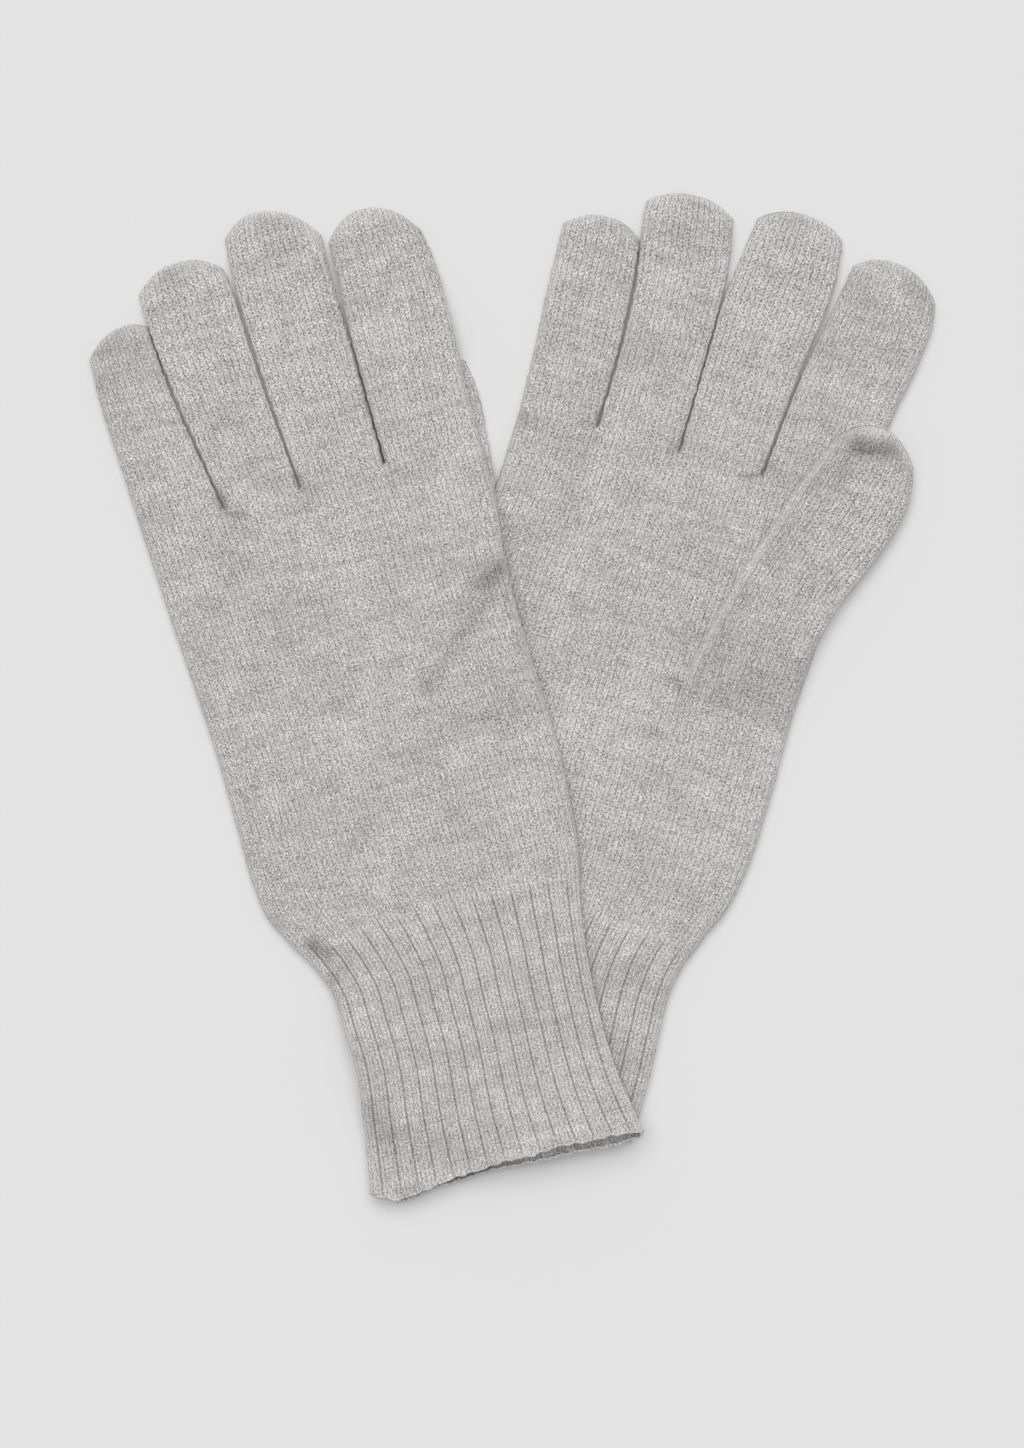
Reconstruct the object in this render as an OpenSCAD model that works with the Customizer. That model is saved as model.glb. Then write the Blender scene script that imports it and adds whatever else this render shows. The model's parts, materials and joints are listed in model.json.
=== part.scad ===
// A pair of plain knitted gloves lying flat, the left glove half over the right one.
// Millimetres, +Z up. The gloves rest on z = 0 and the fingers point along +Y.
// The right glove lies palm up below, with its thumb folded over its palm.
// The left glove lies palm down on top, with its thumb tucked under its palm.

/* [Lay] */
// turn of the right glove, fingers leaning right
right_turn = -16.3; // [-18:0.1:-15]
// turn of the left glove, fingers leaning left
left_turn = 15.2; // [14:0.1:16]
// middle of the right wrist
right_wrist = [12.28, -59.57];
// middle of the left wrist
left_wrist = [-19.62, -59.87];

/* [Fabric] */
// thickness of one knitted layer
fabric = 1; // [0.8:0.1:1]
// thickness of a hand or cuff lying flat
hand_thick = 6.4; // [6.2:0.1:7]
// thickness of a finger or thumb lying flat
finger_thick = 6.2; // [6.1:0.1:6.8]
// space left between layers that lie on each other
clear = 0.3; // [0.3:0.1:0.6]
// space left between the two gloves
glove_gap = 0.8; // [0.3:0.1:1]
// length over which the top glove comes down beside the bottom one
drape = 19; // [16:1:22]
// width beside the bottom glove over which the top one stays up
shelf = 4; // [3:0.5:5]
// room above the tucked thumb where it folds
thumb_room = 1.5; // [1.4:0.1:1.8]

/* [Cuffs] */
// length of the turned welt at the mouth of each cuff
welt_len = 6; // [4:1:10]
// length of the right cuff from the wrist to its mouth
right_cuff_len = 62; // [55:1:66]
// length of the left cuff from the wrist to its mouth
left_cuff_len = 74; // [68:1:78]

/* [Folds] */
// slit between a piece that folds and the piece it hangs on
slit = 0.3; // [0.3:0.1:0.6]

/* [Hidden] */
wrist_y = 3.8;
tip_len = 7;
knit_colour = "#bcbab7";
cuff_colour = "#b3b2af";
thumb_colour = "#b4b1ae";

// One glove outline: [left side, right side], each a list of [y, x] from the wrist to the fingers.
right_hand_cut = [
    [[4, -40.5], [12, -45], [24, -49], [45, -51], [70, -51], [90, -50.5], [110, -48.5], [130, -48.2]],
    [[4, 40.5], [12, 44], [24, 46.5], [45, 47.3], [70, 47], [90, 48], [110, 48.5], [130, 49.4]]
];
left_hand_cut = [
    [[4, -42.5], [10, -45.5], [19, -47.1], [35, -47.4], [55, -47.5], [75, -48.5], [103, -50.3], [122, -51.3]],
    [[4, 40.5], [10, 41.5], [19, 42.3], [35, 43.2], [55, 42.6], [75, 42.1], [90, 42.6], [103, 44.2], [122, 44.5]]
];
right_cuff_cut = [
    [[-60, -37.3], [-34, -37], [-14, -37.8], [-6, -38.5], [4, -40.3]],
    [[-60, 37.3], [-34, 37.1], [-14, 36], [-6, 37], [4, 40.3]]
];
left_cuff_cut = [
    [[-70, -38.7], [-54, -35.8], [-34, -33], [-14, -34], [-5, -37.5], [4, -42]],
    [[-70, 38.3], [-54, 35.6], [-34, 35.2], [-14, 36.9], [-5, 38.4], [4, 40.3]]
];

// One finger or thumb: [root, knuckle, tip, left side, right side].
right_pinky_cut = [130, 148, 186.2,
    [[130, -48.2], [150, -49.2], [160, -50], [181, -51.1]],
    [[130, -26.8], [155, -26.9], [175, -28.7], [183, -29.9]]];
right_ring_cut = [130, 152, 198.5,
    [[130, -26.3], [152, -26.3], [168, -27.2], [190, -30.6], [194, -31]],
    [[130, -3.4], [175, -3.8], [194, -6.3]]];
right_middle_cut = [130, 154, 202,
    [[130, -2.9], [160, -3.2], [173, -3.2], [185, -1.9], [196, -0.6]],
    [[130, 20.2], [145, 21.3], [160, 22.6], [185, 25], [197, 23.9]]];
right_index_cut = [130, 152, 196.2,
    [[130, 20.7], [145, 21.8], [160, 23.2], [174, 25.5], [188, 27.7]],
    [[130, 49.4], [152, 49.6], [174, 53.2], [184, 53.5], [190, 51.8]]];
right_thumb_cut = [60, 108, 150.3,
    [[60, 15.6], [74, 15.8], [91, 19.1], [108, 23.6], [122, 28], [136, 32.6], [143, 35.2]],
    [[60, 46], [84, 46.7], [93, 48.1], [108, 53], [128, 60], [143, 60]]];
left_pinky_cut = [122, 142, 177.6,
    [[122, -51.3], [140, -52.1], [157, -53], [171, -52.6]],
    [[122, -28.2], [140, -31.1], [157, -33.7], [171, -35.2]]];
left_ring_cut = [122, 145, 190.8,
    [[122, -27.7], [140, -30.6], [157, -33.1], [171, -34.7], [178, -35.8], [185, -35.2]],
    [[122, -6.6], [153, -9], [182, -9.8]]];
left_middle_cut = [122, 147, 197.6,
    [[122, -6.1], [153, -8.5], [182, -9.3], [192, -8.6]],
    [[122, 17.3], [146, 17.5], [182, 17.1], [190, 17.3]]];
left_index_cut = [122, 150.5, 191.2,
    [[122, 17.9], [163, 18], [184, 18.6]],
    [[122, 44.5], [142, 44.8], [158, 45.4], [175, 44.9], [184, 43.4]]];
left_thumb_cut = [58, 104, 148.5,
    [[58, 20], [93, 20], [120, 21.3], [141, 22.5]],
    [[58, 41], [80, 41.5], [93, 42.3], [103, 44.2], [120, 46.2], [137, 47.1], [143, 46.6]]];

function ease(from, to, at) = let (t = max(0, min(1, (at - from) / (to - from)))) t * t * (3 - 2 * t);
function turned(p, a) = [p[0] * cos(a) - p[1] * sin(a), p[0] * sin(a) + p[1] * cos(a)];
function right_place(p) = turned(turned(p, left_turn) + left_wrist - right_wrist, -right_turn);
function right_side_at(y) = lookup(y, y > wrist_y ? right_hand_cut[0] : right_cuff_cut[0]);

// Height of the underside of each piece above z = 0, at a point p of its own glove.
flat_on_ground = function (p) 0;
over_palm = function (p) hand_thick + clear;
over_glove = function (p) let (q = right_place(p), past = q[0] - right_side_at(q[1]))
    (hand_thick + glove_gap) * ease(-drape, -shelf, past) * (1 - ease(99, 122, p[1]))
    * ease(wrist_y - right_cuff_len - drape, wrist_y - right_cuff_len - shelf, q[1]);
over_thumb = function (p) let (
    past = p[0] - lookup(p[1], left_thumb_cut[3]),
    room = thumb_room * ease(97, 104, p[1]) * (1 - ease(112, 120, p[1]))
) over_glove(p) + (finger_thick + clear + room) * ease(-18, -shelf, past) * ease(42, 56, p[1]);
beside_thumb = function (p) over_thumb(p) * (1 - ease(122, 140, p[1]));
over_thumb_tip = function (p) (finger_thick + clear) * (1 - ease(left_index_cut[1], 176, p[1]));

// Points round one flat cross-section: bottom, right end, top, left end.
function section(half, thick, steps) = let (r = min(thick / 2, half), flat = half - r) concat(
    [for (i = [0 : steps]) [flat * (2 * i / steps - 1), 0]],
    [for (a = [45 : 45 : 135]) [flat + r * sin(a), thick / 2 * (1 - cos(a))]],
    [for (i = [0 : steps]) [flat * (1 - 2 * i / steps), thick]],
    [for (a = [45 : 45 : 135]) [-flat - r * sin(a), thick / 2 * (1 + cos(a))]]
);
function ring(s, steps, lift, up) = let (mid = (s[1] + s[2]) / 2)
    [for (p = section((s[2] - s[1]) / 2, s[3], steps)) [mid + p[0], s[0], lift([mid + p[0], s[0]]) + up + p[1]]];

// Faces between ring a and ring b of n points, and from a ring to its closing point.
function band(a, b, n) = [for (i = [0 : n - 1], half = [0, 1]) let (j = (i + 1) % n)
    half == 0 ? [a + i, b + i, b + j] : [a + i, b + j, a + j]];
function fan(a, point, n) = [for (i = [0 : n - 1]) [a + i, point, a + (i + 1) % n]];
function flipped(faces, on) = on ? [for (f = faces) [f[2], f[1], f[0]]] : faces;

// Flat knitted tube. outer and inner are lists of stations [y, left, right, thick].
// The first station is open; the last one is closed at closing = [outer y, inner y] when given.
module flat_tube(outer, inner, lift, steps, closing = undef) {
    n = 2 * (steps + 1) + 6;
    outside = [for (s = outer) ring(s, steps, lift, 0)];
    inside = [for (s = inner) ring(s, steps, lift, fabric)];
    no = len(outer);
    ni = len(inner);
    last_o = outer[no - 1];
    last_i = inner[ni - 1];
    mid_o = [(last_o[1] + last_o[2]) / 2, closing == undef ? 0 : closing[0]];
    mid_i = [(last_i[1] + last_i[2]) / 2, closing == undef ? 0 : closing[1]];
    ends = closing == undef ? [] : [
        [mid_o[0], mid_o[1], lift(mid_o) + last_o[3] / 2],
        [mid_i[0], mid_i[1], lift(mid_i) + fabric + last_i[3] / 2]
    ];
    points = concat([for (r = outside, p = r) p], [for (r = inside, p = r) p], ends);
    walls = concat(
        [for (k = [0 : no - 2], f = band(k * n, (k + 1) * n, n)) f],
        [for (k = [0 : ni - 2], f = flipped(band((no + k) * n, (no + k + 1) * n, n), true)) f],
        flipped(band(0, no * n, n), true)
    );
    shut = closing == undef ? band((no - 1) * n, (no + ni - 1) * n, n)
        : concat(fan((no - 1) * n, (no + ni) * n, n), flipped(fan((no + ni - 1) * n, (no + ni) * n + 1, n), true));
    polyhedron(points, flipped(concat(walls, shut), outer[no - 1][0] > outer[0][0]));
}

// Stations of an open stretch between from and to, inset by one layer of fabric where in = 1.
function open_stations(cut, from, to, count, thick, in) = [for (i = [0 : count]) let (y = from + (to - from) * i / count)
    [y, lookup(y, cut[0]) + in * fabric, lookup(y, cut[1]) - in * fabric, thick - 2 * in * fabric]];

// Stations from from to the rounded tip; the tip keeps a blunt end with soft corners.
function tip_stations(cut, from, tip, count, thick, in) = let (
    start = tip - tip_len,
    left = lookup(start, cut[0]) + in * fabric,
    right = lookup(start, cut[1]) - in * fabric,
    mid = (left + right) / 2,
    tall = thick - 2 * in * fabric
) concat(open_stations(cut, from, start, count, thick, in),
    [for (a = [30, 52, 70]) let (k = 1 - 0.62 * (1 - cos(a)))
        [start + tip_len * sin(a), mid + (left - mid) * k, mid + (right - mid) * k, tall * (0.4 + 0.6 * cos(a))]]);

// Open pieces: count stations along and steps across follow how much the piece bends.
module open_tube(cut, from, to, lift, count, steps) {
    flat_tube(open_stations(cut, from, to, count, hand_thick, 0),
        open_stations(cut, from, to, count, hand_thick, 1), lift, steps);
}

module hand(cut, top, lift, count, steps) {
    open_tube(cut, wrist_y + slit / 2, top, lift, count, steps);
}

module cuff(cut, length, lift, count, steps) {
    open_tube(cut, wrist_y - slit / 2, wrist_y - length + welt_len, lift, count, steps);
}

module welt(cut, length, lift, count, steps) {
    open_tube(cut, wrist_y - length + welt_len - clear / 3, wrist_y - length, lift, count, steps);
}

module finger_base(f, lift) {
    sides = [f[3], f[4]];
    from = f[0] + clear / 3;
    to = f[1] - slit / 2;
    flat_tube(open_stations(sides, from, to, 4, finger_thick, 0),
        open_stations(sides, from, to, 4, finger_thick, 1), lift, 6);
}

module finger_end(f, lift, count = 5) {
    sides = [f[3], f[4]];
    from = f[1] + slit / 2;
    flat_tube(tip_stations(sides, from, f[2], count, finger_thick, 0),
        tip_stations(sides, from, f[2] - fabric, count, finger_thick, 1), lift, 6, [f[2], f[2] - fabric]);
}

// The thumb grows out of the hand: its base starts thin at the root and is closed there.
module thumb_base(f, lift) {
    sides = [f[3], f[4]];
    from = f[1] - slit / 2;
    rise = 18;
    function tall(y) = 2 + (finger_thick - 2) * ease(f[0], f[0] + rise, y);
    hollow_end = f[0] + 10;
    outer = [for (s = open_stations(sides, from, f[0], 8, finger_thick, 0)) [s[0], s[1], s[2], tall(s[0])]];
    inner = [for (s = open_stations(sides, from, hollow_end, 7, finger_thick, 1))
        [s[0], s[1], s[2], tall(s[0]) - 2 * fabric]];
    flat_tube(outer, inner, lift, 6, [f[0] - 2, hollow_end - 1]);
}

module right_place() {
    translate(right_wrist) rotate(right_turn) children();
}

module left_place() {
    translate(left_wrist) rotate(left_turn) children();
}

// Right glove, palm up, below.
module right_hand() {
    color(knit_colour) right_place() hand(right_hand_cut, right_index_cut[0], flat_on_ground, 12, 12);
}
module right_cuff() {
    color(cuff_colour) right_place() cuff(right_cuff_cut, right_cuff_len, flat_on_ground, 6, 12);
}
module right_cuff_welt() {
    color(cuff_colour) right_place() welt(right_cuff_cut, right_cuff_len, flat_on_ground, 1, 12);
}
module right_pinky_base() {
    color(knit_colour) right_place() finger_base(right_pinky_cut, flat_on_ground);
}
module right_pinky_end() {
    color(knit_colour) right_place() finger_end(right_pinky_cut, flat_on_ground);
}
module right_ring_base() {
    color(knit_colour) right_place() finger_base(right_ring_cut, flat_on_ground);
}
module right_ring_end() {
    color(knit_colour) right_place() finger_end(right_ring_cut, flat_on_ground);
}
module right_middle_base() {
    color(knit_colour) right_place() finger_base(right_middle_cut, flat_on_ground);
}
module right_middle_end() {
    color(knit_colour) right_place() finger_end(right_middle_cut, flat_on_ground);
}
module right_index_base() {
    color(knit_colour) right_place() finger_base(right_index_cut, flat_on_ground);
}
module right_index_end() {
    color(knit_colour) right_place() finger_end(right_index_cut, flat_on_ground);
}
module right_thumb_base() {
    color(thumb_colour) right_place() thumb_base(right_thumb_cut, over_palm);
}
module right_thumb_end() {
    color(thumb_colour) right_place() finger_end(right_thumb_cut, over_palm);
}

// Left glove, palm down, draped over the right one.
module left_hand() {
    color(knit_colour) left_place() hand(left_hand_cut, left_index_cut[0], over_thumb, 26, 20);
}
module left_cuff() {
    color(cuff_colour) left_place() cuff(left_cuff_cut, left_cuff_len, over_glove, 16, 20);
}
module left_cuff_welt() {
    color(cuff_colour) left_place() welt(left_cuff_cut, left_cuff_len, over_glove, 2, 20);
}
module left_pinky_base() {
    color(knit_colour) left_place() finger_base(left_pinky_cut, flat_on_ground);
}
module left_pinky_end() {
    color(knit_colour) left_place() finger_end(left_pinky_cut, flat_on_ground);
}
module left_ring_base() {
    color(knit_colour) left_place() finger_base(left_ring_cut, flat_on_ground);
}
module left_ring_end() {
    color(knit_colour) left_place() finger_end(left_ring_cut, flat_on_ground);
}
module left_middle_base() {
    color(knit_colour) left_place() finger_base(left_middle_cut, beside_thumb);
}
module left_middle_end() {
    color(knit_colour) left_place() finger_end(left_middle_cut, flat_on_ground);
}
module left_index_base() {
    color(knit_colour) left_place() finger_base(left_index_cut, over_thumb_tip);
}
module left_index_end() {
    color(knit_colour) left_place() finger_end(left_index_cut, over_thumb_tip);
}
module left_thumb_base() {
    color(thumb_colour) left_place() thumb_base(left_thumb_cut, over_glove);
}
module left_thumb_end() {
    color(thumb_colour) left_place() finger_end(left_thumb_cut, over_glove, 11);
}

right_hand();
right_cuff();
right_cuff_welt();
right_pinky_base();
right_pinky_end();
right_ring_base();
right_ring_end();
right_middle_base();
right_middle_end();
right_index_base();
right_index_end();
right_thumb_base();
right_thumb_end();
left_hand();
left_cuff();
left_cuff_welt();
left_pinky_base();
left_pinky_end();
left_ring_base();
left_ring_end();
left_middle_base();
left_middle_end();
left_index_base();
left_index_end();
left_thumb_base();
left_thumb_end();
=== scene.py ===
"""A pair of plain knitted gloves lying flat, the left one half over the right one."""
import json
import math

import bpy
import numpy as np
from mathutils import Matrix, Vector


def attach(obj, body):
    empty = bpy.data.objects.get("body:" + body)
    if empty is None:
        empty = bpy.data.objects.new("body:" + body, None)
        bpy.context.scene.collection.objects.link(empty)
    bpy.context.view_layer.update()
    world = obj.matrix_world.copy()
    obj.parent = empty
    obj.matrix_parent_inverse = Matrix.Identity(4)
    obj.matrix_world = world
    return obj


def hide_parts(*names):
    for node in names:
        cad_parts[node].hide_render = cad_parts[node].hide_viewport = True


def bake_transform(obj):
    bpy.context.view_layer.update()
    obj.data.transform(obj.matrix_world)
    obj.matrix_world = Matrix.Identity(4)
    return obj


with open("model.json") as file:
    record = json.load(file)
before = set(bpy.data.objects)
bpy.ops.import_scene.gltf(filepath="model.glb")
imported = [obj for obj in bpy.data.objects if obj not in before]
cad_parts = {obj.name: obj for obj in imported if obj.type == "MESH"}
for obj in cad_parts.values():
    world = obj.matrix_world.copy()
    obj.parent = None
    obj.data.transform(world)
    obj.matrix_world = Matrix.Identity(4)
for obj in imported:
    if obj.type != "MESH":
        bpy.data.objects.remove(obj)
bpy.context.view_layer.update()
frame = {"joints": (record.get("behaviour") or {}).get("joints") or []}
joints = {j["name"]: j for j in frame["joints"]}
MM = 0.001

# --- Table, light and camera --------------------------------------------------------------------
# The gloves lie on a wide pale matt table in a plain white room. A soft window hangs above them, a little
# towards the fingertips, and the camera looks straight down. The camera's span is its field's longer side.
TABLE_SIZE = 24.0
TABLE_GREY = 0.80
WORLD_LIGHT = 0.42
SUN_LIGHT = 1.81
SUN_WIDTH = 50
SUN_FROM = (-0.06, 0.36)
SUN_HEIGHT = 1.5
CAMERA_MIDDLE = (0.1, -8.3)
CAMERA_LENS = 85
CAMERA_SENSOR = 36
CAMERA_SPAN = 396.7


def select_nothing():
    for thing in bpy.context.selected_objects:
        thing.select_set(False)


select_nothing()
bpy.ops.mesh.primitive_plane_add(size=TABLE_SIZE, location=(0, 0, 0))
table = bpy.context.object
table.name = "table"
table_paint = bpy.data.materials.new("pale_table")
table_paint.use_nodes = True
paint = table_paint.node_tree.nodes["Principled BSDF"]
paint.inputs["Base Color"].default_value = (TABLE_GREY, TABLE_GREY, TABLE_GREY, 1)
paint.inputs["Roughness"].default_value = 0.9
paint.inputs["Specular IOR Level"].default_value = 0.1
table.data.materials.append(table_paint)

world = bpy.data.worlds.new("studio")
bpy.context.scene.world = world
world.use_nodes = True
world.node_tree.nodes["Background"].inputs["Color"].default_value = (1, 1, 1, 1)
world.node_tree.nodes["Background"].inputs["Strength"].default_value = WORLD_LIGHT
bpy.context.scene.view_settings.view_transform = "Standard"

bpy.ops.object.light_add(type="SUN", location=(0, 0, SUN_HEIGHT))
window = bpy.context.object
window.name = "overhead_window"
window.data.angle = math.radians(SUN_WIDTH)
window.data.energy = SUN_LIGHT
window.rotation_euler = Vector((-SUN_FROM[0], -SUN_FROM[1], -1)).to_track_quat("-Z", "Y").to_euler()

camera_height = CAMERA_SPAN / CAMERA_SENSOR * CAMERA_LENS
bpy.ops.object.camera_add(location=(CAMERA_MIDDLE[0] * MM, CAMERA_MIDDLE[1] * MM, camera_height * MM))
camera = bpy.context.object
camera.data.lens = CAMERA_LENS
camera.rotation_euler = (0, 0, 0)
bpy.context.scene.camera = camera

# --- Right hand ---------------------------------------------------------------------------------
# The palm and back are one seamless tube of plain stockinette in soft grey heather yarn. It lies palm up
# and flat on the table, and the fingers, thumb and cuff are knitted on to it.
WALE = 1.5
COURSE = 1.15
HAND_THICK = 4.8
FABRIC = 0.9
CLEAR = 0.3
ROUND = 2.4
WRIST = 3.8
WRIST_WALES = 128
HAND_AROUND = 240
NAP = 0.08
LOWEST = 0.06
WAVES = 0.25
DENT = 1.3


def glove_place(cuff_joint, sense):
    """Origin, across and along directions of a glove, from the hinge of its cuff."""
    across = sense * np.array(joints[cuff_joint]["axis"], float)
    along = np.array([-across[1], across[0], 0.0])
    origin = np.array(joints[cuff_joint]["pos_m"], float) / MM - WRIST * along
    return {"origin": origin[:2], "across": across[:2], "along": along[:2]}


def to_table(place, x, y):
    """A glove's own x and y, in millimetres, as x and y on the table."""
    o, a, b = place["origin"], place["across"], place["along"]
    return o[0] + a[0] * x + b[0] * y, o[1] + a[1] * x + b[1] * y


def to_glove(place, x, y):
    """x and y on the table as a glove's own x and y."""
    dx, dy = x - place["origin"][0], y - place["origin"][1]
    a, b = place["across"], place["along"]
    return dx * a[0] + dy * a[1], dx * b[0] + dy * b[1]


def ease(start, end, at):
    """Smooth step from 0 at start to 1 at end."""
    t = np.clip((at - start) / (end - start), 0, 1)
    return t * t * (3 - 2 * t)


def side_line(points, at):
    """Smooth line through (y, x) points, read at the heights at."""
    y, x = np.array(points, float).T
    slope = np.gradient(x, y)
    k = np.clip(np.searchsorted(y, at) - 1, 0, len(y) - 2)
    h = y[k + 1] - y[k]
    t = np.clip((at - y[k]) / h, 0, 1)
    return ((1 + 2 * t) * (1 - t) ** 2 * x[k] + t * (1 - t) ** 2 * h * slope[k]
            + t * t * (3 - 2 * t) * x[k + 1] + t * t * (t - 1) * h * slope[k + 1])


def section(half, thick, round_left, round_right, around):
    """Points evenly spaced round a flat tube, from the middle of its underside by way of its right side.
    Returns x, z, outward normal x, z, and the distance from the middle of the top."""
    rl, rr = (max(1e-4, min(r, thick / 2, half)) for r in (round_left, round_right))
    k = np.linspace(0, math.pi / 2, 9)
    c, s = np.cos(k), np.sin(k)
    x = np.concatenate([[0], half - rr + rr * s, half - rr + rr * c,
                        rl - half - rl * s, rl - half - rl * c, [0]])
    z = np.concatenate([[0], rr - rr * c, thick - rr + rr * s, thick - rl + rl * c, rl - rl * s, [0]])
    nx = np.concatenate([[0], s, c, -s, -c, [0]])
    nz = np.concatenate([[-1], -c, s, c, -s, [-1]])
    run = np.concatenate([[0], np.cumsum(np.hypot(np.diff(x), np.diff(z)) + 1e-9)])
    at = np.linspace(0, run[-1], around + 1)
    return (*(np.interp(at, run, v) for v in (x, z, nx, nz)), at - run[-1] / 2)


def flat_rings(ys, left, right, thick, round_left, round_right, around, inset=0.0):
    """Stack of sections at the heights ys. All the rest may be numbers or one value for each ring."""
    n = len(ys)
    left, right, thick, round_left, round_right = (
        np.broadcast_to(np.asarray(v, float), (n,)) for v in (left, right, thick, round_left, round_right))
    rings = {k: np.zeros((n, around + 1)) for k in ("x", "y", "z", "nx", "nz", "arc", "top", "edge_highlight")}
    for j in range(n):
        half = max((right[j] - left[j]) / 2 - inset, 0.05)
        tall = max(thick[j] - 2 * inset, 0.02)
        x, z, nx, nz, arc = section(half, tall, round_left[j], round_right[j], around)
        rings["x"][j] = x + (left[j] + right[j]) / 2
        rings["z"][j] = z + inset
        rings["nx"][j], rings["nz"][j], rings["arc"][j] = nx, nz, arc
        rings["top"][j] = z / tall
        rings["y"][j] = ys[j]
        # Painted highlight: the sides of each section, facing away from the top, are marked to be painted
        # lighter.
        rings["edge_highlight"][j] = (1 - np.clip(nz, 0, 1)) * (inset == 0)
    return rings


def joined(*stacks):
    return {k: np.concatenate([s[k] for s in stacks]) for k in stacks[0]}


def reverse(stack):
    return {k: v[::-1] for k, v in stack.items()}


def rows_of(stack, rows):
    return {k: v[rows] for k, v in stack.items()}


def wrap_sheet(name, place, rings, u, v, marks, rims):
    """A flat grid wrapped on to the rings: its two long sides meet under the piece and are merged.
    u and v count stitches across and along. marks are named values kept on the points, and the rings
    numbered in rims are cut edges of the fabric."""
    rows, columns = rings["x"].shape
    select_nothing()
    bpy.ops.mesh.primitive_grid_add(x_subdivisions=columns - 1, y_subdivisions=rows - 1, size=1,
                                    location=(0, 0, 0))
    sheet = bpy.context.object
    sheet.name = name
    sheet.data.name = name
    bumps = np.random.default_rng(len(name)).normal(0, NAP, (rows, columns))
    bumps[:, -1] = bumps[:, 0]
    bumps[[0, -1] + list(rims)] = 0
    px, py = to_table(place, rings["x"] + bumps * rings["nx"], rings["y"])
    points = np.stack([px, py, np.maximum(rings["z"] + bumps * rings["nz"], LOWEST)], axis=-1) * MM
    sheet.data.vertices.foreach_set("co", points.ravel())
    for mark, values in marks.items():
        kept = sheet.data.attributes.new(mark, "FLOAT", "POINT")
        kept.data.foreach_set("value", values.ravel().astype(np.float32))
    corner = np.zeros(len(sheet.data.loops), int)
    sheet.data.loops.foreach_get("vertex_index", corner)
    sheet.data.uv_layers[0].name = "stitches"
    stitches = np.stack([u.ravel()[corner], v.ravel()[corner]], axis=-1)
    sheet.data.uv_layers[0].data.foreach_set("uv", stitches.ravel())
    ends = np.zeros(len(sheet.data.edges) * 2, int)
    sheet.data.edges.foreach_get("vertices", ends)
    ring_of = ends.reshape(-1, 2) // columns
    sharp = (ring_of[:, 0] == ring_of[:, 1]) & np.isin(ring_of[:, 0], rims)
    cut_edges = sheet.data.attributes.new("sharp_edge", "BOOLEAN", "EDGE")
    cut_edges.data.foreach_set("value", sharp)
    bpy.ops.object.mode_set(mode="EDIT")
    bpy.ops.mesh.select_all(action="SELECT")
    bpy.ops.mesh.remove_doubles(threshold=2e-6)
    bpy.ops.mesh.flip_normals()
    bpy.ops.object.mode_set(mode="OBJECT")
    sheet.data.update()
    bpy.ops.object.shade_smooth()
    return sheet


def soft_waves(x, y, seed):
    """Slow unevenness of limp knit: nine waves, 12 to 40 mm long, laid over each other."""
    rng = np.random.default_rng(seed)
    total = np.zeros_like(x)
    for _ in range(9):
        turn, length, start = rng.uniform(0, math.pi), rng.uniform(12, 40), rng.uniform(0, 6.3)
        total += np.sin((x * math.cos(turn) + y * math.sin(turn)) * 2 * math.pi / length + start)
    return total / 5


def creased(x, y, creases):
    """Strength of the creases at each point. A crease runs from x0, y0 to x1, y1 and has a width and a
    strength."""
    total = np.zeros_like(x)
    for x0, y0, x1, y1, width, strength in creases:
        run = np.array([x1 - x0, y1 - y0]) + 1e-6
        t = np.clip(((x - x0) * run[0] + (y - y0) * run[1]) / (run @ run), 0, 1)
        away = np.hypot(x - x0 - t * run[0], y - y0 - t * run[1])
        total = np.maximum(total, strength * np.exp(-(away / width) ** 2))
    return total


def settle(rings, lift, seed, creases, dent=DENT):
    """Lifts the rings on to what they lie on and gives the upper side its unevenness and creases.
    Returns how much each point of the upper side lies in a crease; the pieces keep this as painted shade."""
    x, y = rings["x"], rings["y"]
    top = ease(0.3, 1.0, rings["top"])
    deep = creased(x, y, creases)
    rings["z"] = rings["z"] + lift(x, y) + top * (WAVES * (soft_waves(x, y, seed) - 0.7) - dent * deep)
    return deep * top


def node(tree, kind, **settings):
    made = tree.nodes.new(kind)
    for key, value in settings.items():
        setattr(made, key, value)
    return made


def maths(tree, operation, a, b=None, clamp=False):
    made = node(tree, "ShaderNodeMath", operation=operation, use_clamp=clamp)
    for socket, value in ((0, a), (1, b)):
        if isinstance(value, (int, float)):
            made.inputs[socket].default_value = value
        elif value is not None:
            tree.links.new(value, made.inputs[socket])
    return made.outputs[0]


def spread(tree, value, low, high, to_low=0.0, to_high=1.0):
    """Value stretched so that low and high become to_low and to_high, and kept between them."""
    made = node(tree, "ShaderNodeMapRange")
    for label, number in (("From Min", low), ("From Max", high), ("To Min", to_low), ("To Max", to_high)):
        made.inputs[label].default_value = number
    tree.links.new(value, made.inputs["Value"])
    return made.outputs[0]


def blend_colours(tree, mode, factor, a, b):
    made = node(tree, "ShaderNodeMix", data_type="RGBA", blend_type=mode)
    for socket, value in ((0, factor), (6, a), (7, b)):
        if isinstance(value, (int, float, tuple)):
            made.inputs[socket].default_value = value
        else:
            tree.links.new(value, made.inputs[socket])
    return made.outputs[2]


def noise(tree, vector, scale, detail=2.0, roughness=0.5):
    made = node(tree, "ShaderNodeTexNoise")
    for label, number in (("Scale", scale), ("Detail", detail), ("Roughness", roughness)):
        made.inputs[label].default_value = number
    tree.links.new(vector, made.inputs["Vector"])
    return made.outputs[0]


def stretched(tree, vector, scale):
    made = node(tree, "ShaderNodeMapping")
    made.inputs["Scale"].default_value = scale
    tree.links.new(vector, made.inputs["Vector"])
    return made.outputs[0]


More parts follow.
